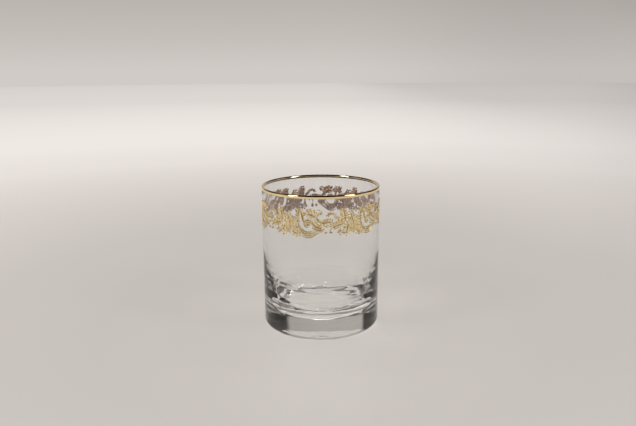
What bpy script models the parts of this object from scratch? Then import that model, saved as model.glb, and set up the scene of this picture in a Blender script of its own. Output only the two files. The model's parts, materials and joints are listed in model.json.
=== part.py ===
import math

import bmesh
import bpy
import numpy as np

# Glass body: a straight tumbler with a heavy base, in metres
GLASS_RADIUS = 0.0410
GLASS_HEIGHT = 0.0996
WALL = 0.00145
FLOOR_THICKNESS = 0.0113
TAPER = 0.0130
TAPER_TOP = 0.0550
TAPER_POWER = 2.6
CORNER_REACH = 0.0032
CORNER_RISE = 0.0027
HEEL_RADIUS = 0.0042
FOOT_WIDTH = 0.0038
PUNT_DEPTH = 0.0003

# Gilding on the lip
GILDING_GAP = 0.00015
RIM_THICKNESS = 0.00025
RIM_OUTER_DEPTH = 0.0019
RIM_INNER_DEPTH = 0.0010

# Gilded relief frieze below the lip
FRIEZE_DROP = 0.0083
FRIEZE_HEIGHT = 0.0190
FRIEZE_RELIEF = 0.00035
FRIEZE_REPEATS = 6
FRIEZE_START = math.radians(-23.9)

# The frieze's pattern cell, in units of about a millimetre along the wall and up from the band's foot
CELL_LENGTH = 43.0
CELL_HEIGHT = 19.0

# Facets
TURN_STEPS = 60
ARC_STEPS = 6
CORNER_STEPS = 4
TAPER_STEPS = 8
PUNT_STEPS = 4
LOBE_STEPS = 4
BULB_STEPS = 6
CURVE_STEPS = 40

# How blunt the lobes are, and how much of its radius of bend a stroke may fill on the inside of a curl
LOBE_POWER = 0.9
INSIDE_SHARE = 0.7
BULB_NECK = 0.55


def spiral(centre, radii, start_degrees, sweep_degrees, count):
    """Points on a logarithmic spiral from the first radius to the second."""
    share = np.linspace(0.0, 1.0, count)
    angle = np.radians(start_degrees + sweep_degrees * share)
    radius = radii[0] * (radii[1] / radii[0]) ** share
    return [(centre[0] + r * math.cos(a), centre[1] + r * math.sin(a)) for r, a in zip(radius, angle)]


# One stroke of gold per entry: the line it follows from tail to tip, its width, where it is widest,
# the lobes along its sides between two shares of its length, and the round bulb that ends a scroll
STROKES = {
    "scroll_low": {
        "line": [(20.2, 5.1), (17.0, 5.9), (14.3, 7.0)] + spiral((8.9, 9.1), (3.7, 1.1), 8, 335, 10),
        "width": 3.2, "peak": 0.30, "lobes": 3, "depth": 0.22, "sides": "right",
        "span": (0.03, 0.42), "bulb": 1.05, "plain": 12,
    },
    "acanthus": {
        "line": [(19.6, 3.9), (15.6, 3.0), (12.0, 2.4), (8.4, 2.3), (5.0, 3.0), (2.4, 5.2), (1.4, 9.0),
                 (1.7, 12.6), (2.6, 16.6)],
        "width": 4.9, "peak": 0.42, "lobes": 8, "depth": 0.22, "sides": "left",
        "span": (0.08, 0.98), "bulb": 0.0, "plain": 1,
    },
    "palmette": {
        "line": [(4.0, 14.8), (6.6, 15.4), (9.6, 15.5), (12.7, 14.8)],
        "width": 3.6, "peak": 0.50, "lobes": 5, "depth": 1.25, "sides": "left",
        "span": (0.0, 1.0), "bulb": 0.0, "plain": 0,
    },
    "scroll_high": {
        "line": [(26.4, 10.5), (22.6, 10.4), (18.8, 10.6), (15.9, 12.0)]
        + spiral((17.0, 16.3), (2.6, 1.15), 214, -305, 10),
        "width": 4.0, "peak": 0.25, "lobes": 4, "depth": 0.35, "sides": "both",
        "span": (0.0, 0.44), "bulb": 1.0, "plain": 12,
    },
    "sprig": {
        "line": [(27.5, 13.0), (26.4, 14.8), (24.4, 15.9), (22.4, 15.6), (21.0, 14.0)],
        "width": 2.6, "peak": 0.50, "lobes": 4, "depth": 0.40, "sides": "right",
        "span": (0.0, 1.0), "bulb": 0.0, "plain": 0,
    },
    "tendril": {
        "line": [(29.0, 14.6), (29.2, 11.2), (28.4, 8.6), (25.8, 6.9), (23.7, 5.4), (23.2, 3.8),
                 (24.2, 2.6), (25.4, 2.8)],
        "width": 3.2, "peak": 0.36, "lobes": 4, "depth": 0.30, "sides": "right",
        "span": (0.05, 0.66), "bulb": 1.0, "plain": 3,
    },
    "bract": {
        "line": [(35.4, 9.0), (34.2, 6.2), (33.7, 3.4), (34.2, 0.3)],
        "width": 4.5, "peak": 0.50, "lobes": 3, "depth": 0.40, "sides": "both",
        "span": (0.0, 1.0), "bulb": 0.0, "plain": 0,
    },
    "plume": {
        "line": [(33.0, 10.2), (33.3, 13.2), (32.8, 16.2), (31.6, 19.4)],
        "width": 3.6, "peak": 0.50, "lobes": 4, "depth": 0.35, "sides": "both",
        "span": (0.0, 1.0), "bulb": 0.0, "plain": 0,
    },
    "frond": {
        "line": [(39.2, 0.8), (39.5, 5.8), (38.9, 10.4), (37.8, 14.2), (37.4, 18.0)],
        "width": 4.1, "peak": 0.50, "lobes": 6, "depth": 0.30, "sides": "both",
        "span": (0.0, 1.0), "bulb": 0.0, "plain": 0,
    },
}


def curve_through(points):
    """A smooth line through hand-chosen points (Catmull-Rom), closely stepped."""
    p = np.array(points, float)
    p = np.vstack([2 * p[0] - p[1], p, 2 * p[-1] - p[-2]])
    t = np.linspace(0.0, 1.0, CURVE_STEPS, endpoint=False)[:, None]
    runs = []
    for a, b, c, d in zip(p[:-3], p[1:-2], p[2:-1], p[3:]):
        bow = 2 * a - 5 * b + 4 * c - d
        twist = 3 * b - a - 3 * c + d
        runs.append(b + 0.5 * ((c - a) * t + bow * t**2 + twist * t**3))
    return np.vstack(runs + [p[-2:-1]])


def stations(stroke, length):
    """Distances along a stroke at which it gets a section."""
    start, end = stroke["span"]
    marks = [0.0, length]
    marks += list(length * np.linspace(start, end, LOBE_STEPS * stroke["lobes"] + 1))
    bulb_start = length - 2 * stroke["bulb"]
    marks += list(np.linspace(end * length, bulb_start, stroke["plain"] + 1))
    if stroke["bulb"]:
        turn = np.linspace(0.0, math.pi, BULB_STEPS + 1)
        marks += list(length - stroke["bulb"] * (1.0 + np.cos(turn)))
    return np.unique(np.round(marks, 6))


def half_widths(stroke, along, length):
    """Half width left and right of the line: a swelling stroke, lobed, with a bulb at a scroll's tip."""
    half = stroke["width"] / 2
    share = along / length
    rise = np.sin(0.5 * math.pi * np.clip(share / stroke["peak"], 0.0, 1.0))
    fall = np.cos(0.5 * math.pi * np.clip((share - stroke["peak"]) / (1.0 - stroke["peak"]), 0.0, 1.0))
    bulb = stroke["bulb"]
    neck = BULB_NECK * bulb / half
    plain = half * rise * (neck + (1.0 - neck) * fall)
    if bulb:
        plain = np.where(along > length - bulb, 0.0, plain)
        plain = np.maximum(plain, np.sqrt(np.clip(bulb**2 - (along - length + bulb) ** 2, 0.0, None)))
    start, end = stroke["span"]
    beat = np.clip((share - start) / (end - start), 0.0, 1.0)
    wave = np.abs(np.sin(math.pi * stroke["lobes"] * beat)) ** LOBE_POWER
    lobed = plain * (1.0 + stroke["depth"] * wave)
    left = plain if stroke["sides"] == "right" else lobed
    right = plain if stroke["sides"] == "left" else lobed
    return left, right


def stroke_edges(stroke):
    """The stroke's middle line and its two edges, in pattern units."""
    line = curve_through(stroke["line"])
    run = np.concatenate([[0.0], np.cumsum(np.hypot(*np.diff(line, axis=0).T))])
    heading = np.unwrap(np.arctan2(np.gradient(line[:, 1], run), np.gradient(line[:, 0], run)))
    bend = np.gradient(heading, run)
    along = stations(stroke, run[-1])
    middle = np.stack([np.interp(along, run, line[:, 0]), np.interp(along, run, line[:, 1])], axis=1)
    angle = np.interp(along, run, heading)
    bend = np.interp(along, run, bend)
    room = INSIDE_SHARE / np.maximum(np.abs(bend), 1e-6)
    left, right = half_widths(stroke, along, run[-1])
    left = np.where(bend > 0.0, np.minimum(left, room), left)
    right = np.where(bend < 0.0, np.minimum(right, room), right)
    across = np.stack([-np.sin(angle), np.cos(angle)], axis=1)
    return middle, middle + across * left[:, None], middle - across * right[:, None]


def on_wall(pattern, height):
    """A pattern point wrapped on the glass wall, at a height above the gilding's back."""
    angle = FRIEZE_START + pattern[0] / CELL_LENGTH * 2 * math.pi / FRIEZE_REPEATS
    radius = GLASS_RADIUS + GILDING_GAP + height
    foot = GLASS_HEIGHT - FRIEZE_DROP - FRIEZE_HEIGHT
    z = foot + pattern[1] / CELL_HEIGHT * FRIEZE_HEIGHT
    return (radius * math.sin(angle), -radius * math.cos(angle), z)


def stroke_mesh(name, stroke):
    """A low ridge of gold along the stroke, pointed at both ends, flat against the wall behind."""
    middle, left, right = stroke_edges(stroke)
    widest = np.hypot(*(left - right).T).max()
    shape = bmesh.new()
    rings = []
    for centre, west, east in zip(middle[1:-1], left[1:-1], right[1:-1]):
        fullness = math.sqrt(np.hypot(*(west - east)) / widest)
        back = (west + east) / 2
        crest = on_wall(centre, FRIEZE_RELIEF * fullness)
        corners = (on_wall(west, 0.0), crest, on_wall(east, 0.0), on_wall(back, 0.0))
        rings.append([shape.verts.new(corner) for corner in corners])
    for first, second in zip(rings, rings[1:]):
        for i in range(len(first)):
            j = (i + 1) % len(first)
            shape.faces.new((first[i], first[j], second[j], second[i]))
    for ring, point in ((rings[0], middle[0]), (rings[-1], middle[-1])):
        tip = shape.verts.new(on_wall(point, 0.0))
        for i in range(len(ring)):
            shape.faces.new((ring[i], ring[(i + 1) % len(ring)], tip))
    bmesh.ops.recalc_face_normals(shape, faces=shape.faces)
    mesh = bpy.data.meshes.new(name)
    shape.to_mesh(mesh)
    shape.free()
    mesh.shade_smooth()
    return mesh


def arc(centre, radius, start_degrees, end_degrees, steps=ARC_STEPS):
    """Points on an arc of the turned profile, ends included."""
    turns = np.radians(np.linspace(start_degrees, end_degrees, steps + 1))
    return [(centre[0] + radius * math.cos(a), centre[1] + radius * math.sin(a)) for a in turns]


def inner_wall(height):
    """Radius of the inside at a height: straight above, thickening by a power law towards the floor."""
    share = (TAPER_TOP - height) / (TAPER_TOP - FLOOR_THICKNESS)
    return GLASS_RADIUS - WALL - TAPER * share**TAPER_POWER


def glass_profile():
    """From the middle of the inner floor up the inside, over the lip and down to the punt's middle."""
    foot = FLOOR_THICKNESS + CORNER_RISE
    heights = TAPER_TOP - (TAPER_TOP - foot) * np.linspace(1.0, 0.0, TAPER_STEPS + 1)
    taper = [(inner_wall(h), h) for h in heights]
    bend = np.array([inner_wall(FLOOR_THICKNESS), FLOOR_THICKNESS])
    start = bend - np.array([CORNER_REACH, 0.0])
    t = np.linspace(0.0, 1.0, CORNER_STEPS, endpoint=False)[:, None]
    corner = (1 - t) ** 2 * start + 2 * t * (1 - t) * bend + t**2 * np.array(taper[0])
    lip = arc((GLASS_RADIUS - WALL / 2, GLASS_HEIGHT - WALL / 2), WALL / 2, 180, 0)
    heel = arc((GLASS_RADIUS - HEEL_RADIUS, HEEL_RADIUS), HEEL_RADIUS, 0, -90)
    punt_radius = GLASS_RADIUS - HEEL_RADIUS - FOOT_WIDTH
    shares = np.linspace(1.0, 0.0, PUNT_STEPS + 1)
    punt = [(punt_radius * s, PUNT_DEPTH * (1.0 - s**4)) for s in shares]
    return [(0.0, FLOOR_THICKNESS)] + corner.tolist() + taper + lip + heel + punt


def rim_profile():
    """A thin cap of gold over the lip, from its inner lower edge round to its outer one and back."""
    centre = (GLASS_RADIUS - WALL / 2, GLASS_HEIGHT - WALL / 2)
    near = WALL / 2 + GILDING_GAP
    far = near + RIM_THICKNESS
    inner_end = GLASS_HEIGHT - RIM_INNER_DEPTH
    outer_end = GLASS_HEIGHT - RIM_OUTER_DEPTH
    outside = [(centre[0] - far, inner_end)] + arc(centre, far, 180, 0) + [(centre[0] + far, outer_end)]
    inside = [(centre[0] + near, outer_end)] + arc(centre, near, 0, 180) + [(centre[0] - near, inner_end)]
    return outside + inside


def turned(name, profile, is_ring):
    """An object turned from its profile about the Z axis."""
    mesh = bpy.data.meshes.new(name)
    edges = [(i, i + 1) for i in range(len(profile) - 1)]
    if is_ring:
        edges.append((len(profile) - 1, 0))
    mesh.from_pydata([(r, 0.0, z) for r, z in profile], edges, [])
    item = bpy.data.objects.new(name, mesh)
    turn = item.modifiers.new("turn", "SCREW")
    turn.axis = "Z"
    turn.angle = 2 * math.pi
    turn.steps = TURN_STEPS
    turn.render_steps = TURN_STEPS
    turn.use_merge_vertices = True
    turn.merge_threshold = 0.00001
    turn.use_smooth_shade = True
    return item


def finish(name, colour, roughness, metallic):
    """A plain surface finish."""
    material = bpy.data.materials.new(name)
    material.use_nodes = True
    shader = material.node_tree.nodes["Principled BSDF"]
    shader.inputs["Base Color"].default_value = (*colour, 1.0)
    shader.inputs["Roughness"].default_value = roughness
    shader.inputs["Metallic"].default_value = metallic
    return material


def place(item, material, collection):
    """Gives a piece its finish and its place in the object's collection."""
    item.data.materials.append(material)
    collection.objects.link(item)


for old in list(bpy.data.objects):
    bpy.data.objects.remove(old)

whisky_glass = bpy.data.collections.new("whisky_glass")
bpy.context.scene.collection.children.link(whisky_glass)

clear_glass = finish("clear_glass", (0.86, 0.88, 0.87), 0.05, 0.0)
gold = finish("gold", (0.62, 0.46, 0.20), 0.30, 1.0)

place(turned("tumbler_body", glass_profile(), False), clear_glass, whisky_glass)
place(turned("rim_gilding", rim_profile(), True), gold, whisky_glass)

for stroke_name, stroke in STROKES.items():
    relief = stroke_mesh(stroke_name, stroke)
    relief.materials.append(gold)
    for repeat in range(FRIEZE_REPEATS):
        copy = bpy.data.objects.new(f"{stroke_name}_{repeat + 1}", relief)
        copy.rotation_euler.z = repeat * 2 * math.pi / FRIEZE_REPEATS
        whisky_glass.objects.link(copy)
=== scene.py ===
import json
import math

import bpy
import numpy as np
from mathutils import Matrix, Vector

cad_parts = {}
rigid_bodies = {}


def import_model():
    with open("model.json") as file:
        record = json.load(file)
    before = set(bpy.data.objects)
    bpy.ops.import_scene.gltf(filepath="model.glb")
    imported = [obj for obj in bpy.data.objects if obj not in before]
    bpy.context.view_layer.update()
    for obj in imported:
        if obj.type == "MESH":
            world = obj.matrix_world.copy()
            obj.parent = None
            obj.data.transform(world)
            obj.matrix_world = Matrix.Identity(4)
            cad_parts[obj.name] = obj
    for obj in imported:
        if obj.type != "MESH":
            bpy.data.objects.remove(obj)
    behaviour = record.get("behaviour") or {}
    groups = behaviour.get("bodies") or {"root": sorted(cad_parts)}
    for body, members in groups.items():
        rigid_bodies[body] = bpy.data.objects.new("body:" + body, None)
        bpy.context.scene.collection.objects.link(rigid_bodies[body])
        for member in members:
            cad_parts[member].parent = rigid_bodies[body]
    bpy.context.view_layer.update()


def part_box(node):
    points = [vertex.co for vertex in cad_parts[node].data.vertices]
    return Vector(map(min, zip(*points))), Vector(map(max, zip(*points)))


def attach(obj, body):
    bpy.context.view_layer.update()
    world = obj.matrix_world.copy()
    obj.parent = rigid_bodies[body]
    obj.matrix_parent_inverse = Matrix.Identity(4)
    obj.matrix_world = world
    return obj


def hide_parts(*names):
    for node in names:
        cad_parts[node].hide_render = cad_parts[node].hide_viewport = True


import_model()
mm = 0.001

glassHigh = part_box("tumbler_body")[1]
glassRadius = glassHigh.x
glassHeight = glassHigh.z
print("frame loaded: glass", round(glassRadius / mm, 2), "mm radius,", round(glassHeight / mm, 2), "mm high")


# Mesh building

# rings is an array rows x columns x 3. Each row is a closed ring; neighbouring rows are joined by quads.
# tips close the first and last row with a fan; a ring of rings joins the last row to the first instead.
# kinds gives a material number and bright a share of painted light for each column.
def skin(rings, tips=None, ringOfRings=False, kinds=None, bright=None):
    rows, columns = rings.shape[:2]
    points = rings.reshape(-1, 3)
    number = np.arange(rows * columns).reshape(rows, columns)
    beside = np.roll(number, -1, axis=1)
    above = np.roll(number, -1, axis=0)
    aboveBeside = np.roll(beside, -1, axis=0)
    last = rows if ringOfRings else rows - 1
    quads = np.stack([number, beside, aboveBeside, above], axis=2)[:last].reshape(-1, 4)
    kinds = np.zeros(columns, int) if kinds is None else kinds
    bright = np.tile(np.zeros(columns) if bright is None else bright, rows)
    triangles = np.zeros((0, 3), int)
    triangleKinds = np.zeros(0, int)
    if tips is not None:
        first = rows * columns
        points = np.vstack([points, tips])
        start = np.stack([np.full(columns, first), beside[0], number[0]], axis=1)
        end = np.stack([np.full(columns, first + 1), number[-1], beside[-1]], axis=1)
        triangles = np.vstack([start, end])
        triangleKinds = np.tile(kinds, 2)
        bright = np.concatenate([bright, np.zeros(2)])
    return {"points": points, "quads": quads, "triangles": triangles, "quadKinds": np.tile(kinds, last),
            "triangleKinds": triangleKinds, "bright": bright}


# several skins joined into one, each with its corner numbers moved past the points of those before it
def joinSkins(skins):
    shift = np.cumsum([0] + [len(s["points"]) for s in skins[:-1]])
    unmoved = ("points", "quadKinds", "triangleKinds", "bright")
    joined = {key: np.concatenate([s[key] for s in skins]) for key in unmoved}
    for key in ("quads", "triangles"):
        joined[key] = np.concatenate([s[key] + n for s, n in zip(skins, shift)])
    return joined


# a mesh object from a skin: the quads come first, four corners each, then the triangles, three each
def makePiece(name, surface, materials):
    mesh = bpy.data.meshes.new(name)
    quads, triangles = surface["quads"], surface["triangles"]
    loops = np.concatenate([quads.ravel(), triangles.ravel()])
    starts = np.concatenate([np.arange(len(quads)) * 4, len(quads) * 4 + np.arange(len(triangles)) * 3])
    kinds = np.concatenate([surface["quadKinds"], surface["triangleKinds"]])
    mesh.vertices.add(len(surface["points"]))
    mesh.vertices.foreach_set("co", surface["points"].astype(np.float32).ravel())
    mesh.loops.add(len(loops))
    mesh.loops.foreach_set("vertex_index", loops.astype(np.int32))
    mesh.polygons.add(len(starts))
    mesh.polygons.foreach_set("loop_start", starts.astype(np.int32))
    mesh.polygons.foreach_set("material_index", kinds.astype(np.int32))
    # each point's share of painted light, for the frieze gold
    paintedLit = mesh.attributes.new("paintedLit", "FLOAT", "POINT")
    paintedLit.data.foreach_set("value", surface["bright"].astype(np.float32))
    mesh.update(calc_edges=True)
    mesh.validate()
    mesh.shade_smooth()
    for material in materials:
        mesh.materials.append(material)
    piece = bpy.data.objects.new(name, mesh)
    bpy.context.scene.collection.objects.link(piece)
    return piece


# points on an ellipse's arc, ends included: the centre plus each reach times the turn's cosine or sine
def arcPoints(centre, reach, fromDegrees, toDegrees, count):
    turn = np.radians(np.linspace(fromDegrees, toDegrees, count))
    return np.stack([centre[0] + reach[0] * np.cos(turn), centre[1] + reach[1] * np.sin(turn)], axis=1)


# a profile of radii and heights carried round the upright axis at even angles
def turnedRings(profile, turns):
    angle = np.linspace(0.0, 2.0 * math.pi, turns, endpoint=False)
    radius = profile[:, :1]
    height = np.broadcast_to(profile[:, 1:], (len(profile), turns))
    return np.stack([radius * np.cos(angle), radius * np.sin(angle), height], axis=2)


# Material nodes

# a material with its nodes, its links and its one Principled shader
def newMaterial(name):
    material = bpy.data.materials.new(name)
    material.use_nodes = True
    nodes = material.node_tree.nodes
    return material, nodes, material.node_tree.links, nodes["Principled BSDF"]


# noise with features about 1/scale metres wide on the piece's own coordinates, or on a place that is given
def addNoise(nodes, links, scale, detail, place=None):
    noise = nodes.new("ShaderNodeTexNoise")
    noise.inputs["Scale"].default_value = scale
    noise.inputs["Detail"].default_value = detail
    if place is None:
        place = nodes.new("ShaderNodeTexCoord").outputs["Object"]
    links.new(place, noise.inputs["Vector"])
    return noise.outputs["Fac"]


# straight runs between stops, each a place and a colour, or a place and one number for a grey
def addRamp(nodes, links, source, stops):
    ramp = nodes.new("ShaderNodeValToRGB")
    while len(ramp.color_ramp.elements) < len(stops):
        ramp.color_ramp.elements.new(0.5)
    for element, (place, tone) in zip(ramp.color_ramp.elements, stops):
        element.position = place
        element.color = (*(tone if isinstance(tone, tuple) else (tone, tone, tone)), 1.0)
    links.new(source, ramp.inputs["Fac"])
    return ramp.outputs["Color"]


# normals tilted by the slope of a height, on top of another bump where one is given
def addBump(nodes, links, source, distance, strength, under=None):
    bump = nodes.new("ShaderNodeBump")
    bump.inputs["Distance"].default_value = distance
    bump.inputs["Strength"].default_value = strength
    links.new(source, bump.inputs["Height"])
    if under is not None:
        links.new(under, bump.inputs["Normal"])
    return bump.outputs["Normal"]


# the first colour where the share is zero, the second where it is one, in proportion between
def addBlend(nodes, links, share, first, second):
    blend = nodes.new("ShaderNodeMix")
    blend.data_type = "RGBA"
    links.new(share, blend.inputs[0])
    for socket, value in ((blend.inputs[6], first), (blend.inputs[7], second)):
        if isinstance(value, tuple):
            socket.default_value = value
        else:
            links.new(value, socket)
    return blend.outputs[2]


# one operation on one or two values, each a number or a socket
def addMath(nodes, links, operation, first, second=0.0):
    node = nodes.new("ShaderNodeMath")
    node.operation = operation
    for socket, value in zip(node.inputs, (first, second)):
        if isinstance(value, float):
            socket.default_value = value
        else:
            links.new(value, socket)
    return node.outputs[0]


# zero at the first value, one at the second, smooth between and level past both
def addStep(nodes, links, source, low, high):
    step = nodes.new("ShaderNodeMapRange")
    step.interpolation_type = "SMOOTHSTEP"
    step.inputs["From Min"].default_value = low
    step.inputs["From Max"].default_value = high
    links.new(source, step.inputs["Value"])
    return step.outputs["Result"]


# the side of the gold that lies on the glass and shows through it: between two plain tones by a noise
def makeBack(name, look):
    material, nodes, links, shader = newMaterial(name)
    cloud = addNoise(nodes, links, *look["backCloud"])
    links.new(addRamp(nodes, links, cloud, look["backTones"]), shader.inputs["Base Color"])
    shader.inputs["Roughness"].default_value = look["backRoughness"]
    return material


# Glass body

# its form, then its looks
glassShape = {
    "wall": 1.45 * mm,
    "floorThickness": 11.3 * mm,
    "innermost": 1.0 * mm,
    "taper": 13.0 * mm,
    "taperTop": 55.0 * mm,
    "taperGentle": 0.35,
    "taperPowers": (1.6, 6.0),
    "taperCrowding": 1.3,
    "corner": (6.0 * mm, 3.0 * mm),
    "cornerWave": 0.10 * mm,
    "heel": 4.2 * mm,
    "footWidth": 3.8 * mm,
    "punt": 0.3 * mm,
    "puntPower": 4,
    "puntInnermost": 0.03,
    "steps": {"floor": 14, "corner": 24, "taper": 70, "innerWall": 10, "lip": 17, "outerWall": 14,
              "heel": 24, "punt": 20},
    "turns": 288,
    "rippleSize": 0.036 * mm,
    "rippleRise": 0.6,
    "rippleWall": 0.9,
    "rippleWaves": [3, 5, 7, 9, 14, 23],
    "rippleLean": [900.0, -1250.0, 1600.0, 620.0, -330.0, 210.0],
    "tint": (0.985, 0.99, 0.985, 1.0),
    "bending": 1.5,
    "cordStretch": (90.0, 90.0, 560.0),
    "cordDetail": 2.0,
    "cordFade": (0.052, 0.022),
    "cordHeight": 0.00008,
    "lampShare": 0.94,
}


# clear, with faint level cords in the thick glass of the base that fade out up the wall; to a lamp each
# surface is a pane that lets a fixed share of its light through, so the glass throws a light shadow
def makeGlass():
    material, nodes, links, shader = newMaterial("clearGlass")
    shader.inputs["Base Color"].default_value = glassShape["tint"]
    shader.inputs["Roughness"].default_value = 0.0
    shader.inputs["IOR"].default_value = glassShape["bending"]
    shader.inputs["Transmission Weight"].default_value = 1.0
    place = nodes.new("ShaderNodeTexCoord").outputs["Object"]
    stretch = nodes.new("ShaderNodeVectorMath")
    stretch.operation = "MULTIPLY"
    stretch.inputs[1].default_value = glassShape["cordStretch"]
    links.new(place, stretch.inputs[0])
    cords = addNoise(nodes, links, 1.0, glassShape["cordDetail"], stretch.outputs["Vector"])
    split = nodes.new("ShaderNodeSeparateXYZ")
    links.new(place, split.inputs[0])
    fade = addStep(nodes, links, split.outputs["Z"], *glassShape["cordFade"])
    height = addMath(nodes, links, "MULTIPLY", cords, fade)
    links.new(addBump(nodes, links, height, glassShape["cordHeight"], 1.0), shader.inputs["Normal"])
    path = nodes.new("ShaderNodeLightPath")
    pane = nodes.new("ShaderNodeBsdfTransparent")
    pane.inputs["Color"].default_value = (*[glassShape["lampShare"]] * 3, 1.0)
    toLamp = nodes.new("ShaderNodeMixShader")
    links.new(path.outputs["Is Shadow Ray"], toLamp.inputs[0])
    links.new(shader.outputs[0], toLamp.inputs[1])
    links.new(pane.outputs[0], toLamp.inputs[2])
    links.new(toLamp.outputs[0], nodes["Material Output"].inputs["Surface"])
    return material


# from near the middle of the inner floor out along it, round the corner, a square curve with a faint wave
# of sines, up the wall, which thins by two powers of the height still to go, over the round lip, down the
# outside, round the heel, across the foot ring and up the shallow punt, by a power of the radius, toward
# the axis
def glassProfile():
    steps = glassShape["steps"]
    inside = glassRadius - glassShape["wall"]
    floorTop = glassShape["floorThickness"]
    top = glassShape["taperTop"]
    lipRadius = glassShape["wall"] / 2
    lipHeight = glassHeight - lipRadius
    heel = glassShape["heel"]
    footInner = glassRadius - heel - glassShape["footWidth"]
    cornerRadius = inside - glassShape["taper"]
    cornerStart = cornerRadius - glassShape["corner"][0]
    taperStart = floorTop + glassShape["corner"][1]
    crowded = np.linspace(1.0, 0.0, steps["taper"]) ** glassShape["taperCrowding"]
    heights = top - (top - taperStart) * crowded
    toGo = (top - heights) / (top - floorTop)
    gentle, steep = glassShape["taperPowers"]
    gentleShare = glassShape["taperGentle"]
    thicker = glassShape["taper"] * (gentleShare * toGo**gentle + (1.0 - gentleShare) * toGo**steep)
    taper = np.stack([inside - thicker, heights], axis=1)
    across = np.linspace(glassShape["innermost"], cornerStart, steps["floor"])
    innerFloor = np.stack([across, np.full(len(across), floorTop)], axis=1)[:-1]
    t = np.linspace(0.0, 1.0, steps["corner"], endpoint=False)[:, None]
    start = np.array([cornerStart, floorTop])
    bend = np.array([cornerRadius, floorTop])
    corner = (1 - t) ** 2 * start + 2 * t * (1 - t) * bend + t**2 * taper[0]
    corner[:, 1:] += glassShape["cornerWave"] * np.sin(math.pi * t) * np.sin(4.0 * math.pi * t)
    up = np.linspace(top, lipHeight, steps["innerWall"] + 2)[1:-1]
    innerWall = np.stack([np.full(len(up), inside), up], axis=1)
    lip = arcPoints((glassRadius - lipRadius, lipHeight), (lipRadius, lipRadius), 180, 0, steps["lip"])
    down = np.linspace(lipHeight, heel, steps["outerWall"] + 2)[1:-1]
    outerWall = np.stack([np.full(len(down), glassRadius), down], axis=1)
    heelArc = arcPoints((glassRadius - heel, heel), (heel, heel), 0, -90, steps["heel"])
    share = np.linspace(1.0, glassShape["puntInnermost"], steps["punt"])
    puntHeights = glassShape["punt"] * (1.0 - share ** glassShape["puntPower"])
    punt = np.stack([footInner * share, puntHeights], axis=1)
    return np.vstack([innerFloor, corner, taper, innerWall, lip, outerWall, heelArc, punt])


# faint waves of the inner wall: a sum of sines round the glass that lean as they rise, under a squared sine
# that is zero at the floor and at the top of the taper
def ripple(rings):
    angle = np.arctan2(rings[..., 1], rings[..., 0])
    height = rings[..., 2]
    radius = np.hypot(rings[..., 0], rings[..., 1])
    low = glassShape["floorThickness"]
    share = np.clip((height - low) / (glassShape["taperTop"] - low), 0.0, 1.0)
    onInside = (radius < glassRadius - glassShape["rippleWall"] * glassShape["wall"]) * (height > low)
    window = np.sin(math.pi * share ** glassShape["rippleRise"]) ** 2 * onInside
    pairs = zip(glassShape["rippleWaves"], glassShape["rippleLean"])
    waves = sum(np.sin(n * angle + lean * height + n * n) for n, lean in pairs)
    swell = (1.0 + window * glassShape["rippleSize"] * waves / np.maximum(radius, mm))[..., None]
    return np.concatenate([rings[..., :2] * swell, rings[..., 2:]], axis=-1)


glassRings = ripple(turnedRings(glassProfile(), glassShape["turns"]))
glassTips = np.array([[0.0, 0.0, glassShape["floorThickness"]], [0.0, 0.0, glassShape["punt"]]])
tumbler = makePiece("tumbler", skin(glassRings[:, ::-1], tips=glassTips), [makeGlass()])
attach(tumbler, "root")
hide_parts("tumbler_body")
print("glass body:", len(tumbler.data.polygons), "faces")


# Gold line on the lip

# its form, then its looks
rimShape = {
    "sink": 0.03 * mm,
    "thickness": 0.36 * mm,
    "outerDepth": 1.9 * mm,
    "innerDepth": 0.78 * mm,
    "inset": 0.10 * mm,
    "insetFrom": 0.451,
    "insetOver": 0.55,
    "steps": {"outer": 10, "over": 25, "inner": 6, "under": 13},
    "turns": 256,
    "cloud": (900.0, 3.0),
    "tones": [(0.3, (0.97, 0.74, 0.40)), (0.7, (1.0, 0.85, 0.53))],
    "polish": [(0.3, 0.03), (0.75, 0.07)],
    "backCloud": (700.0, 3.0),
    "backTones": [(0.3, (0.022, 0.006, 0.002)), (0.7, (0.055, 0.016, 0.007))],
    "backRoughness": 0.5,
}


# burnished gold, its tone and its polish both clouded by one noise
def makeRimGold():
    material, nodes, links, shader = newMaterial("rimGold")
    shader.inputs["Metallic"].default_value = 1.0
    cloud = addNoise(nodes, links, *rimShape["cloud"])
    links.new(addRamp(nodes, links, cloud, rimShape["tones"]), shader.inputs["Base Color"])
    links.new(addRamp(nodes, links, cloud, rimShape["polish"]), shader.inputs["Roughness"])
    return material


# a closed section: up the outside of the gold, which curves in toward its lower edge by a square, over the
# lip, down its inside, and back along the glass
def rimProfile():
    steps = rimShape["steps"]
    lipRadius = glassShape["wall"] / 2
    centre = (glassRadius - lipRadius, glassHeight - lipRadius)
    far = lipRadius + rimShape["thickness"]
    near = lipRadius - rimShape["sink"]
    outerEnd = glassHeight - rimShape["outerDepth"]
    innerEnd = glassHeight - rimShape["innerDepth"]
    over = arcPoints(centre, (far, far), 0, 180, steps["over"])
    under = arcPoints(centre, (near, near), 180, 0, steps["under"])
    fall = np.linspace(1.0, 0.0, steps["outer"] + 1)[:-1]
    inset = rimShape["inset"] * np.clip((fall - rimShape["insetFrom"]) / rimShape["insetOver"], 0.0, 1.0) ** 2
    outerRun = np.stack([centre[0] + far - inset, centre[1] + (outerEnd - centre[1]) * fall], axis=1)
    down = np.linspace(centre[1], innerEnd, steps["inner"] + 1)[1:]
    innerRun = np.stack([np.full(len(down), centre[0] - far), down], axis=1)
    backIn = np.array([[centre[0] - near, innerEnd]])
    backOut = np.array([[centre[0] + near, outerEnd]])
    kinds = np.repeat([0, 1, 0], [len(outerRun) + len(over) + len(innerRun), 1 + len(under), 1])
    return np.vstack([outerRun, over, innerRun, backIn, under, backOut]), kinds


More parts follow.
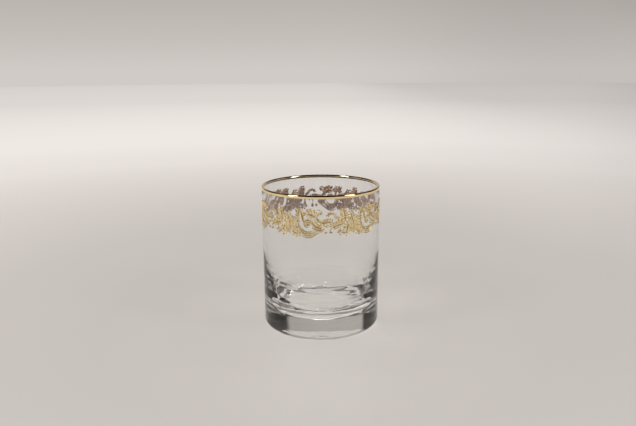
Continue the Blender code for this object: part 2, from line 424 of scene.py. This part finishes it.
rimSection, rimKinds = rimProfile()
rimRings = turnedRings(rimSection, rimShape["turns"])[:, ::-1].transpose(1, 0, 2)
rimMaterials = [makeRimGold(), makeBack("rimBack", rimShape)]
rimLine = makePiece("rimLine", skin(rimRings, ringOfRings=True, kinds=rimKinds), rimMaterials)
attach(rimLine, "root")
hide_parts("rim_gilding")
print("rim line:", len(rimLine.data.polygons), "faces")


# Frieze of gold leaves

# its form, in metres, shares and cell units, then its looks
friezeShape = {
    "repeats": 6,
    "start": math.radians(-23.9),
    "cellLength": 43.0,
    "cellHeight": 19.0,
    "drop": 8.3 * mm,
    "height": 19.0 * mm,
    "relief": 0.34 * mm,
    "sink": 0.03 * mm,
    "insideShare": 0.7,
    "leastBend": 1e-6,
    "fullWidth": 1.2,
    "tipCrowding": 0.7,
    "bulbNeck": 0.55,
    "berryRib": 0.02,
    "ribFront": [1.0, 0.98, 0.93, 0.85, 0.76, 0.68, 0.60, 0.52, 0.44, 0.36, 0.24, 0.12, 0.0],
    "ribBack": [-0.5, 0.0, 0.5],
    "channelWidth": 0.46,
    "channelDepth": 0.45,
    # past the share below, a rib's edge gets painted shade instead of painted light
    "ribPaintedLitTo": 0.97,
    "leafletFront": [1.0, 0.96, 0.85, 0.65, 0.45, 0.25, 0.12, 0.0],
    "leafletBack": [-0.4, 0.4],
    "leafletHeight": 0.85,
    "veinWidth": 0.32,
    "veinDepth": 0.45,
    "leafletRim": 0.12,
    # past the share below, a leaflet's edge gets painted shade instead of painted light
    "leafletPaintedLitTo": 0.9,
    "leafletSize": (0.5, 1.2),
    "leafletRoot": 0.35,
    "leafletLean": [76.0, 64.0, 46.0, 18.0],
    "leafletWidth": 0.55,
    "leafletPeak": 0.55,
    "steps": {"line": 40, "leaf": 64, "shortLeaf": 32, "leaflet": 18},
    "metal": 0.6,
    "cloud": (620.0, 3.0),
    # dark gold as painted shade in channels, veins and edges, then bright gold as painted light on the raised
    # parts
    "ground": [(0.40, (0.15, 0.064, 0.016)), (0.60, (0.45, 0.265, 0.08))],
    "paintedLit": [(0.40, (0.90, 0.63, 0.235)), (0.60, (1.0, 0.93, 0.60))],
    # pale specks where this noise peaks are painted glints
    "speck": (1250.0, 1.0),
    "paintedGlintEdge": (0.60, 0.68),
    "paintedGlint": (1.0, 0.95, 0.78, 1.0),
    "grain": (3200.0, 2.0),
    "sheen": [(0.35, 0.10), (0.7, 0.26)],
    "grainBump": (0.00006, 0.6),
    "hammered": (750.0, 1.0),
    "hammeredBump": (0.001, 0.5),
    "backCloud": (600.0, 3.0),
    "backTones": [(0.35, (0.20, 0.095, 0.056)), (0.65, (0.52, 0.325, 0.205))],
    "backRoughness": 0.6,
}


# painted shade and light: dark gold in the channels, veins and edges and bright gold on the raised parts
# between, both clouded by one noise, with pale specks where a finer noise peaks; hammered dents lie under a
# fine grain
def makeFriezeGold():
    material, nodes, links, shader = newMaterial("friezeGold")
    shader.inputs["Metallic"].default_value = friezeShape["metal"]
    paintedLit = nodes.new("ShaderNodeAttribute")
    paintedLit.attribute_name = "paintedLit"
    cloud = addNoise(nodes, links, *friezeShape["cloud"])
    ground = addRamp(nodes, links, cloud, friezeShape["ground"])
    bright = addRamp(nodes, links, cloud, friezeShape["paintedLit"])
    tone = addBlend(nodes, links, paintedLit.outputs["Fac"], ground, bright)
    # pale specks where a finer noise peaks, painted glints in the gold's colour
    paintedGlint = addStep(nodes, links, addNoise(nodes, links, *friezeShape["speck"]), *friezeShape["paintedGlintEdge"])
    links.new(addBlend(nodes, links, paintedGlint, tone, friezeShape["paintedGlint"]), shader.inputs["Base Color"])
    grain = addNoise(nodes, links, *friezeShape["grain"])
    links.new(addRamp(nodes, links, grain, friezeShape["sheen"]), shader.inputs["Roughness"])
    hammered = addNoise(nodes, links, *friezeShape["hammered"])
    dents = addBump(nodes, links, hammered, *friezeShape["hammeredBump"])
    links.new(addBump(nodes, links, grain, *friezeShape["grainBump"], dents), shader.inputs["Normal"])
    return material


# points on a logarithmic spiral: the first radius times a power of the ratio of the two, by even turns
def spiral(centre, radii, startDegrees, sweepDegrees, count):
    share = np.linspace(0.0, 1.0, count)
    turn = np.radians(startDegrees + sweepDegrees * share)
    radius = radii[0] * (radii[1] / radii[0]) ** share
    return np.stack([centre[0] + radius * np.cos(turn), centre[1] + radius * np.sin(turn)], axis=1).tolist()


# a leaf in cell units of a millimetre: the line of its rib, tail to tip, its width, the share of it that is
# widest, the bulb that ends it, and rows of leaflets: side (1 left, -1 right), count, first and last share
# of the rib, and length beside the rib's width
def leaf(line, width, peak=0.5, bulb=0.0, leaflets=()):
    return {"line": line, "width": width, "peak": peak, "bulb": bulb, "leaflets": leaflets}


# a round bulb alone, on a level line as long as the bulb is wide
def berry(across, up, radius):
    line = [(across - radius, up), (across, up), (across + radius, up)]
    return leaf(line, friezeShape["berryRib"], bulb=radius)


leaves = {
    "scroll_low": [
        leaf([(20.2, 5.3), (17.2, 6.3), (14.8, 7.2), (12.9, 8.3)]
             + spiral((8.8, 8.9), (3.3, 1.9), 8, 300, 11), 2.5, 0.34, 0.0, [(-1, 6, 0.02, 0.40, 0.9)]),
        leaf([(19.8, 4.8), (16.8, 4.9), (14.4, 5.4), (12.4, 6.2), (11.4, 7.6)], 2.0, 0.45),
        leaf([(10.9, 8.9), (9.6, 10.3), (7.9, 10.0), (7.4, 8.5), (8.2, 7.3)], 0.8),
        berry(9.0, 8.6, 1.25),
        berry(20.5, 3.5, 0.9),
    ],
    "acanthus": [
        leaf([(18.8, 4.0), (16.2, 3.5), (13.6, 2.1), (11.2, 0.6), (8.6, 0.1), (6.2, 0.5), (4.0, 1.9)], 1.2),
        leaf([(15.2, 3.9), (13.2, 3.2), (11.2, 1.9), (8.6, 1.35), (6.4, 1.8), (4.6, 3.2)], 1.1),
        leaf([(17.4, 4.5), (13.6, 4.2), (11.2, 3.1), (8.6, 2.6), (6.2, 3.1), (4.3, 4.6), (3.0, 6.8),
              (2.3, 9.4), (2.1, 12.2), (2.4, 15.0), (3.2, 17.4)], 1.8, 0.55, 0.0,
             [(1, 8, 0.44, 0.97, 1.75), (-1, 4, 0.70, 0.98, 1.0)]),
        leaf([(12.8, 5.0), (10.8, 4.2), (8.6, 3.8), (6.6, 4.3), (5.4, 5.4), (4.8, 7.0)], 1.2),
        leaf([(4.8, 2.2), (2.2, 2.2), (0.0, 2.9), (-2.2, 4.2), (-3.8, 6.0)], 1.8, 0.4, 0.0,
             [(1, 5, 0.02, 0.95, 1.4), (-1, 5, 0.08, 0.95, 1.35)]),
        leaf([(1.9, 14.4), (1.4, 16.8), (0.2, 18.8)], 1.6),
        leaf([(2.6, 15.2), (2.5, 17.4), (2.0, 19.5)], 1.5),
    ],
    "palmette": [
        leaf([(6.3, 9.0), (5.7, 11.0), (5.3, 13.0), (4.9, 15.0), (4.4, 17.0), (4.2, 19.2)], 1.8, 0.45, 0.0,
             [(1, 3, 0.50, 0.97, 1.3), (-1, 4, 0.45, 0.97, 1.3)]),
        leaf([(14.6, 12.6), (13.2, 14.3), (11.0, 15.2), (8.8, 15.3), (7.0, 14.7)], 2.0, 0.45, 0.0,
             [(-1, 5, 0.02, 0.98, 2.0), (1, 4, 0.1, 0.95, 1.0)]),
        leaf([(11.4, 16.6), (12.0, 17.6), (11.9, 18.6)], 1.3),
    ],
    "scroll_high": [
        leaf([(20.0, 10.6), (17.6, 10.9), (15.4, 12.0), (14.2, 13.8)]
             + spiral((16.4, 16.2), (2.4, 1.5), 196, -230, 9), 1.8, 0.30, 0.0, [(1, 5, 0.22, 0.60, 1.0)]),
        leaf([(15.0, 10.7), (18.4, 10.0), (21.4, 10.1), (25.8, 10.6)], 1.7, 0.5, 0.0,
             [(1, 5, 0.12, 0.97, 1.7), (-1, 5, 0.12, 0.97, 1.5)]),
        leaf([(19.2, 8.9), (20.4, 7.8), (21.8, 7.0)], 1.7, 0.6),
        berry(16.7, 16.2, 1.15),
    ],
    "sprig": [
        leaf([(28.0, 12.2), (27.2, 14.0), (25.4, 15.4), (23.4, 15.9), (21.6, 15.2), (20.7, 13.6)], 1.5, 0.5,
             0.0, [(-1, 6, 0.05, 0.95, 0.9)]),
        leaf([(22.0, 15.6), (22.3, 14.6), (22.4, 13.4)], 1.1, 0.4),
        leaf([(25.4, 13.2), (26.3, 14.2), (27.3, 13.6), (28.1, 12.0)], 1.3, 0.5, 0.0,
             [(-1, 3, 0.1, 0.9, 1.0)]),
    ],
    "tendril": [
        leaf([(33.6, 10.0), (31.2, 8.8), (28.8, 8.2), (26.4, 7.4), (24.4, 6.3), (23.3, 5.0), (23.5, 3.6)],
             1.8, 0.36, 0.0, [(-1, 7, 0.04, 0.78, 1.5), (1, 6, 0.04, 0.66, 1.1)]),
        leaf([(28.5, 14.2), (28.5, 12.4), (28.9, 10.6), (30.4, 9.2)], 1.4, 0.5, 0.0,
             [(1, 4, 0.05, 0.9, 1.1)]),
        leaf([(30.6, 13.8), (30.4, 12.2), (30.8, 10.8), (31.8, 9.6)], 1.1),
        berry(23.6, 3.5, 1.0),
    ],
    "bract": [
        leaf([(36.2, 9.4), (35.2, 7.0), (34.5, 4.4), (34.3, 1.6)], 1.8, 0.5, 0.0,
             [(1, 4, 0.05, 0.95, 1.8), (-1, 4, 0.05, 0.95, 1.6)]),
        berry(34.2, 1.0, 0.75),
        berry(36.3, 2.5, 0.75),
        berry(37.7, 3.9, 0.7),
    ],
    "plume": [
        leaf([(33.2, 8.6), (33.2, 12.0), (32.9, 15.0), (32.3, 17.4), (31.8, 19.9)], 2.2, 0.5, 0.0,
             [(1, 6, 0.05, 0.95, 1.45), (-1, 6, 0.05, 0.92, 0.95)]),
    ],
    "frond": [
        leaf([(39.4, 1.2), (40.0, 5.2), (39.6, 8.8), (38.4, 12.0), (37.5, 14.8), (37.3, 17.4)], 2.0, 0.5, 0.0,
             [(1, 9, 0.03, 0.97, 1.6), (-1, 9, 0.03, 0.97, 1.6)]),
        leaf([(37.7, 5.6), (37.0, 8.6), (36.0, 11.0), (35.5, 13.2)], 1.6, 0.5, 0.0,
             [(1, 4, 0.05, 0.95, 1.4), (-1, 4, 0.05, 0.95, 1.2)]),
    ],
}

trim = [
    berry(28.6, 3.5, 0.85),
    berry(31.6, 3.0, 0.95),
    berry(30.0, 1.8, 0.7),
    leaf([(29.9, 7.6), (29.9, 5.8), (29.9, 4.4), (30.0, 2.6)], 1.1),
    leaf([(29.9, 5.8), (29.3, 4.8), (28.6, 4.0)], 1.0),
    leaf([(29.9, 5.6), (30.7, 4.5), (31.4, 3.6)], 1.0),
    leaf([(42.4, 4.6), (42.1, 7.2), (41.8, 9.8), (41.9, 12.2), (42.3, 14.2)], 1.7, 0.5, 0.0,
         [(1, 6, 0.05, 0.96, 1.4), (-1, 6, 0.05, 0.96, 1.0)]),
]


# where a section's columns lie across a leaf, 1 at the left edge and -1 at the right: the front, whose right
# half mirrors the left half that is given, then the back
def sectionShares(leftHalf, back):
    front = np.concatenate([leftHalf, -np.array(leftHalf[:-1])[::-1]])
    kinds = np.concatenate([np.zeros(len(front) - 1, int), np.ones(len(back) + 1, int)])
    return {"all": np.concatenate([front, back]), "front": len(front), "kinds": kinds}


ribSection = sectionShares(friezeShape["ribFront"], friezeShape["ribBack"])
leafletSection = sectionShares(friezeShape["leafletFront"], friezeShape["leafletBack"])


# a smooth line through the points: each run is a cubic whose slope at a point follows its two neighbours
def lineThrough(points):
    p = np.array(points, float)
    p = np.vstack([2 * p[0] - p[1], p, 2 * p[-1] - p[-2]])
    t = np.linspace(0.0, 1.0, friezeShape["steps"]["line"], endpoint=False)[None, :, None]
    a, b, c, d = p[:-3, None], p[1:-2, None], p[2:-1, None], p[3:, None]
    runs = b + 0.5 * ((c - a) * t + (2 * a - 5 * b + 4 * c - d) * t**2 + (3 * b - a - 3 * c + d) * t**3)
    line = np.vstack([runs.reshape(-1, 2), p[-2:-1]])
    run = np.concatenate([[0.0], np.cumsum(np.hypot(*np.diff(line, axis=0).T))])
    heading = np.unwrap(np.arctan2(np.gradient(line[:, 1], run), np.gradient(line[:, 0], run)))
    return line, run, heading


# half width along a leaf: a sine swelling to its peak and a cosine falling from it, with a round bulb at the
# tip where the leaf has one
def halfWidths(part, along, length):
    half = part["width"] / 2
    bulb = part["bulb"]
    share = along / length
    rise = np.sin(0.5 * math.pi * np.clip(share / part["peak"], 0.0, 1.0))
    fall = np.cos(0.5 * math.pi * np.clip((share - part["peak"]) / (1.0 - part["peak"]), 0.0, 1.0))
    neck = friezeShape["bulbNeck"] * bulb / half if bulb < half else 0.0
    plain = half * rise * (neck + (1.0 - neck) * fall)
    if bulb:
        plain = np.where(along > length - bulb, 0.0, plain)
        plain = np.maximum(plain, np.sqrt(np.clip(bulb**2 - (along - length + bulb) ** 2, 0.0, None)))
    return plain


# how high the gold stands across a rib, and its share of painted light: a flat dome, the root of one less the
# eighth power, with one wide channel that follows the line, painted shade in it and at the edges, light
# between
def ribForm(share):
    side = np.abs(share)
    channel = np.exp(-((side / friezeShape["channelWidth"]) ** 4))
    height = (1.0 - side**8) ** 0.5 * (1.0 - friezeShape["channelDepth"] * channel)
    return height, (1.0 - channel) * (side < friezeShape["ribPaintedLitTo"])


# a leaflet is a lower dome, the root of one less the sixth power, with one vein and a rise toward its edges;
# painted shade in the vein and at the very edge, painted light between
def leafletForm(share):
    side = np.abs(share)
    vein = np.exp(-((side / friezeShape["veinWidth"]) ** 2))
    dome = friezeShape["leafletHeight"] * (1.0 - side**6) ** 0.5
    height = dome * (1.0 - friezeShape["veinDepth"] * vein + friezeShape["leafletRim"] * side)
    return height, (1.0 - vein) * (side < friezeShape["leafletPaintedLitTo"])


# cell units wrapped on the wall: along the cell is angle, up it is height, out from the wall is radius
def onWall(across, up, out):
    angle = friezeShape["start"] + across / friezeShape["cellLength"] * 2.0 * math.pi / friezeShape["repeats"]
    foot = glassHeight - friezeShape["drop"] - friezeShape["height"]
    height = foot + up / friezeShape["cellHeight"] * friezeShape["height"]
    radius = glassRadius + out
    return np.stack([radius * np.sin(angle), -radius * np.cos(angle), height], axis=-1)


# the section carried along the leaf's line, its stations closer by a sine toward both ends; on the inside of
# a bend the half width stays within the bend's radius, and a narrow leaf is lower by the root of its width
def leafSkin(part, section, formOf, stations):
    line, run, heading = lineThrough(part["line"])
    even = np.linspace(0.0, 1.0, stations)
    crowding = friezeShape["tipCrowding"] * np.sin(2.0 * math.pi * even) / (2.0 * math.pi)
    along = run[-1] * (even - crowding)
    middle = np.stack([np.interp(along, run, line[:, 0]), np.interp(along, run, line[:, 1])], axis=1)
    turn = np.interp(along, run, heading)
    bend = np.interp(along, run, np.gradient(heading, run))
    room = friezeShape["insideShare"] / np.maximum(np.abs(bend), friezeShape["leastBend"])
    half = halfWidths(part, along, run[-1])
    left = np.where(bend > 0.0, np.minimum(half, room), half)
    right = np.where(bend < 0.0, np.minimum(half, room), half)
    shares = section["all"][None, :]
    reach = np.where(shares > 0.0, left[:, None], right[:, None]) * shares
    across = middle[:, :1] - np.sin(turn)[:, None] * reach
    up = middle[:, 1:] + np.cos(turn)[:, None] * reach
    fullness = np.clip((left + right) / friezeShape["fullWidth"], 0.0, 1.0)[:, None] ** 0.5
    front = (np.arange(shares.size) < section["front"])[None, :]
    height, bright = formOf(section["all"])
    out = np.where(front, friezeShape["relief"] * fullness * height[None, :], 0.0) - friezeShape["sink"]
    rings = onWall(across, up, out)[1:-1]
    tips = onWall(middle[[0, -1], 0], middle[[0, -1], 1], np.zeros(2))
    return skin(rings, tips=tips, kinds=section["kinds"], bright=bright)


# leaflets stand at even shares of the rib, start beside it and bend forward in even steps until they almost
# follow it; their length is a share of the leaf's width and a share of its half width there
def leafletParts(part):
    line, run, heading = lineThrough(part["line"])
    ofWidth, ofHalf = friezeShape["leafletSize"]
    lean = np.radians(friezeShape["leafletLean"])[None, :]
    parts = []
    for side, count, first, last, reach in part["leaflets"]:
        share = first + (np.arange(count) + 0.5) / count * (last - first)
        along = share * run[-1]
        half = halfWidths(dict(part, bulb=0.0), along, run[-1])
        size = reach * (ofWidth * part["width"] + ofHalf * half)
        turn = np.interp(along, run, heading)
        root = np.stack([np.interp(along, run, line[:, 0]), np.interp(along, run, line[:, 1])], axis=1)
        beside = np.stack([-np.sin(turn), np.cos(turn)], axis=1)
        root += side * friezeShape["leafletRoot"] * half[:, None] * beside
        ahead = turn[:, None] + side * lean
        steps = size[:, None, None] / lean.size * np.stack([np.cos(ahead), np.sin(ahead)], axis=2)
        lines = np.concatenate([root[:, None], root[:, None] + np.cumsum(steps, axis=1)], axis=1)
        for points, length in zip(lines.tolist(), size.tolist()):
            parts.append(leaf(points, friezeShape["leafletWidth"] * length, friezeShape["leafletPeak"]))
    return parts


# every leaf of a group with its leaflets; a berry or a leaf of three points has fewer stations
def leavesSkin(parts):
    steps = friezeShape["steps"]
    skins = []
    for part in parts:
        stations = steps["shortLeaf"] if len(part["line"]) < 4 else steps["leaf"]
        skins.append(leafSkin(part, ribSection, ribForm, stations))
        for leaflet in leafletParts(part):
            skins.append(leafSkin(leaflet, leafletSection, leafletForm, steps["leaflet"]))
    return joinSkins(skins)


# a skin turned about the upright axis by an angle's cosine and sine
def turnedCopy(surface, angle):
    c, s = math.cos(angle), math.sin(angle)
    turn = np.array([[c, s, 0.0], [-s, c, 0.0], [0.0, 0.0, 1.0]])
    return dict(surface, points=surface["points"] @ turn)


# one group at even turns all the way round
def repeated(surface):
    count = friezeShape["repeats"]
    return joinSkins([turnedCopy(surface, k * 2.0 * math.pi / count) for k in range(count)])


friezeMaterials = [makeFriezeGold(), makeBack("friezeBack", friezeShape)]
for leafName, parts in leaves.items():
    piece = makePiece("frieze_" + leafName, repeated(leavesSkin(parts)), friezeMaterials)
    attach(piece, "root")
    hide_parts(*[f"{leafName}_{k + 1}" for k in range(friezeShape["repeats"])])
    print("frieze", leafName, len(piece.data.polygons), "faces")

friezeTrim = makePiece("frieze_trim", repeated(leavesSkin(trim)), friezeMaterials)
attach(friezeTrim, "root")
print("frieze trim", len(friezeTrim.data.polygons), "faces")


# Floor, light and camera

# rings: how far from the glass, the tone that the lamps light there, and the tone that shows of itself
floorLook = {
    "radius": 8.0,
    "nearRadii": (0.01, 1.0, 40),
    "farFrom": 1.2,
    "farCount": 20,
    "turns": 96,
    "underside": -0.01,
    "rings": [
        (0.0, (190, 184, 179), (0, 0, 0)),
        # a little darker here than at the glass and further out: a painted ring of shade round the glass
        (0.16, (183, 177, 172), (0, 0, 0)),
        (0.29, (187, 181, 176), (18, 17, 17)),
        (0.42, (187, 181, 177), (78, 75, 73)),
        (0.58, (150, 145, 140), (160, 155, 151)),
        (0.81, (60, 58, 56), (214, 208, 204)),
        (1.17, (0, 0, 0), (226, 220, 216)),
        (1.44, (0, 0, 0), (225, 219, 215)),
        (3.3, (0, 0, 0), (203, 198, 194)),
        (8.0, (0, 0, 0), (193, 188, 184)),
    ],
    # painted shade on the backdrop toward the right: where it starts and ends in X, and how much
    "dimEdge": (0.0, 1.1),
    "dim": 0.19,
    "roughness": 0.34,
    "specular": 0.2,
}


# a screen tone of 0 to 255 as linear light: a straight line near black, and above it a power of 2.4
def linearTone(tone):
    c = np.array(tone, float) / 255.0
    return tuple(np.where(c <= 0.04045, c / 12.92, ((c + 0.055) / 1.055) ** 2.4))


# the stops of a ramp from one column of a table of tones, with places as shares of the whole
def toneStops(rows, column, whole=1.0):
    return [(row[0] / whole, linearTone(row[column])) for row in rows]


# one for what the camera sees, straight or in metal and glass, and zero for light that falls on a surface
def seenRay(nodes, links):
    path = nodes.new("ShaderNodeLightPath")
    shinyRays = (path.outputs["Is Glossy Ray"], path.outputs["Is Transmission Ray"])
    shiny = addMath(nodes, links, "MAXIMUM", *shinyRays)
    return addMath(nodes, links, "MAXIMUM", shiny, path.outputs["Is Camera Ray"])


# one less a share of the source
def lessBy(nodes, links, source, share):
    return addMath(nodes, links, "SUBTRACT", 1.0, addMath(nodes, links, "MULTIPLY", source, share))


# a flat disc with tones by distance from the glass: lit by the lamps near it, and far off a pale backdrop
# that sheds no light itself, with painted shade that dims it a little toward the right
def makeFloor():
    look = floorLook
    radius = look["radius"]
    farRadii = np.linspace(look["farFrom"], radius, look["farCount"])
    radii = np.concatenate([np.linspace(*look["nearRadii"]), farRadii])
    rings = turnedRings(np.stack([radii, np.zeros(len(radii))], axis=1), look["turns"])
    material, nodes, links, shader = newMaterial("paleFloor")
    place = nodes.new("ShaderNodeTexCoord").outputs["Object"]
    distance = nodes.new("ShaderNodeVectorMath")
    distance.operation = "LENGTH"
    links.new(place, distance.inputs[0])
    share = addMath(nodes, links, "DIVIDE", distance.outputs["Value"], radius)
    lit = addRamp(nodes, links, share, toneStops(look["rings"], 1, radius))
    glow = addRamp(nodes, links, share, toneStops(look["rings"], 2, radius))
    split = nodes.new("ShaderNodeSeparateXYZ")
    links.new(place, split.inputs[0])
    # painted shade: the backdrop's glow dims toward the right
    right = addStep(nodes, links, split.outputs["X"], *look["dimEdge"])
    dimmed = lessBy(nodes, links, right, look["dim"])
    strength = addMath(nodes, links, "MULTIPLY", dimmed, seenRay(nodes, links))
    links.new(lit, shader.inputs["Base Color"])
    links.new(glow, shader.inputs["Emission Color"])
    links.new(strength, shader.inputs["Emission Strength"])
    shader.inputs["Roughness"].default_value = look["roughness"]
    shader.inputs["Specular IOR Level"].default_value = look["specular"]
    tips = np.array([[0.0, 0.0, 0.0], [0.0, 0.0, look["underside"]]])
    return makePiece("floor", skin(rings[:, ::-1], tips=tips), [material])


floor = makeFloor()

# rises: the sine of elevation, the tone of a panel there and the tone of a gap; edges in degrees
worldLook = {
    "rises": [
        (0.0, (209, 203, 199), (209, 203, 199)),
        (0.05, (197, 191, 186), (197, 191, 186)),
        (0.105, (186, 180, 175), (178, 171, 166)),
        (0.17, (180, 174, 170), (86, 79, 71)),
        (0.26, (176, 170, 165), (32, 25, 19)),
        (0.42, (166, 160, 154), (20, 14, 9)),
        (0.60, (90, 82, 75), (20, 14, 9)),
        (0.75, (45, 36, 29), (28, 20, 14)),
        (1.0, (40, 28, 20), (40, 28, 20)),
    ],
    "panelTurn": math.radians(-5.0),
    "behindEdge": (33.0, 27.0),
    "besideEdge": (72.0, 88.0),
    "besideEnd": (108.0, 92.0),
    "dimEdge": (0.0, 0.36),
    "dim": 0.13,
    "fill": 0.53,
    "sideFill": 0.9,
}


# the room by the sine of elevation, the same for the camera, metal and glass: pale all round near the table,
# with a tall pale panel behind the glass and one at each side and dark gaps between them, with painted shade
# that dims what is seen toward the right; what falls on other surfaces is an even fill, more by the square of
# how far sideways it comes from
def makeWorld():
    look = worldLook
    world = bpy.data.worlds.new("studio")
    world.use_nodes = True
    nodes = world.node_tree.nodes
    links = world.node_tree.links
    split = nodes.new("ShaderNodeSeparateXYZ")
    links.new(nodes.new("ShaderNodeTexCoord").outputs["Generated"], split.inputs[0])
    sideways, away, rise = split.outputs
    panel = addRamp(nodes, links, rise, toneStops(look["rises"], 1))
    gap = addRamp(nodes, links, rise, toneStops(look["rises"], 2))
    azimuth = addMath(nodes, links, "ARCTAN2", sideways, away)
    fromPanel = addMath(nodes, links, "SUBTRACT", azimuth, look["panelTurn"])
    turned = addMath(nodes, links, "ABSOLUTE", fromPanel)
    edges = [np.radians(look[edge]) for edge in ("behindEdge", "besideEdge", "besideEnd")]
    behind, beside, besideEnd = [addStep(nodes, links, turned, low, high) for low, high in edges]
    onPanel = addMath(nodes, links, "MAXIMUM", behind, addMath(nodes, links, "MINIMUM", beside, besideEnd))
    room = addBlend(nodes, links, onPanel, gap, panel)
    squared = addMath(nodes, links, "MULTIPLY", sideways, sideways)
    fromSides = addMath(nodes, links, "MULTIPLY", squared, look["sideFill"])
    fill = addMath(nodes, links, "ADD", fromSides, look["fill"])
    seen = seenRay(nodes, links)
    # painted shade: what is seen dims toward the right
    right = addStep(nodes, links, sideways, *look["dimEdge"])
    dimmed = lessBy(nodes, links, addMath(nodes, links, "MULTIPLY", right, seen), look["dim"])
    links.new(addBlend(nodes, links, seen, fill, room), nodes["Background"].inputs["Color"])
    links.new(dimmed, nodes["Background"].inputs["Strength"])
    bpy.context.scene.world = world


makeWorld()

# where each lamp stands, how wide and high it is, its power, and which rays meet it: the boxes light the
# scene and show on what is shiny, the wide top one only lights it, and the glints show only in glass
lampAim = (0.0, 0.0, 0.06)
lamps = {
    "leftBox": ((-0.80, -0.45, 0.75), (0.17, 0.70), 3.6, ["diffuse", "glossy"]),
    "rightBox": ((0.84, -0.40, 0.75), (0.17, 0.70), 3.6, ["diffuse", "glossy"]),
    "topBox": ((0.0, 0.40, 1.1), (1.5, 0.22), 4.0, ["diffuse"]),
    "rightGlint": ((0.50, 0.30, 0.90), (0.06, 0.26), 1.0, ["transmission"]),
    "leftGlint": ((-0.52, 0.34, 0.86), (0.06, 0.26), 1.0, ["transmission"]),
    "farGlint": ((0.10, 0.62, 0.80), (0.40, 0.05), 1.0, ["transmission"]),
    "highGlint": ((-0.16, 0.20, 1.05), (0.30, 0.06), 1.0, ["transmission"]),
}


# a frame at a place: its third axis points back from the aim, its first is level, its second square to both
def aimed(place, aim):
    back = np.array(place, float) - np.array(aim, float)
    back /= np.linalg.norm(back)
    side = np.cross((0.0, 0.0, 1.0), back)
    side /= np.linalg.norm(side)
    turn = np.eye(4)
    turn[:3, :] = np.stack([side, np.cross(back, side), back, place], axis=1)
    return Matrix(turn.tolist())


for lampName, (place, size, power, shown) in lamps.items():
    light = bpy.data.lights.new(lampName, "AREA")
    light.shape = "RECTANGLE"
    light.size, light.size_y = size
    light.energy = power
    lamp = bpy.data.objects.new(lampName, light)
    lamp.visible_camera = False
    lamp.visible_diffuse = "diffuse" in shown
    lamp.visible_glossy = "glossy" in shown
    lamp.visible_transmission = "transmission" in shown
    lamp.matrix_world = aimed(place, lampAim)
    bpy.context.scene.collection.objects.link(lamp)

cameraLook = {
    "place": (0.0, -0.4194, 0.17756),
    "focalPixels": 610.94,
    "imageWidth": 636,
    "sensor": 36.0,
    "nearest": 0.01,
    "down": math.radians(13.19),
    "yaw": math.radians(-0.258),
    "roll": math.radians(-0.384),
}


# looks along yaw and down, then rolls about its own line of sight
def makeCamera():
    look = cameraLook
    level = math.cos(look["down"])
    ahead = np.array([math.sin(look["yaw"]) * level, math.cos(look["yaw"]) * level, -math.sin(look["down"])])
    right = np.cross(ahead, (0.0, 0.0, 1.0))
    right /= np.linalg.norm(right)
    up = np.cross(right, ahead)
    c, s = math.cos(look["roll"]), math.sin(look["roll"])
    turn = np.eye(4)
    turn[:3, :] = np.stack([c * right + s * up, c * up - s * right, -ahead, look["place"]], axis=1)
    data = bpy.data.cameras.new("photoCamera")
    data.sensor_width = look["sensor"]
    data.sensor_fit = "HORIZONTAL"
    data.lens = look["focalPixels"] * look["sensor"] / look["imageWidth"]
    data.clip_start = look["nearest"]
    camera = bpy.data.objects.new("photoCamera", data)
    camera.matrix_world = Matrix(turn.tolist())
    bpy.context.scene.collection.objects.link(camera)
    bpy.context.scene.camera = camera


makeCamera()
bpy.context.scene.view_settings.view_transform = "Standard"
print("floor, light and camera set")
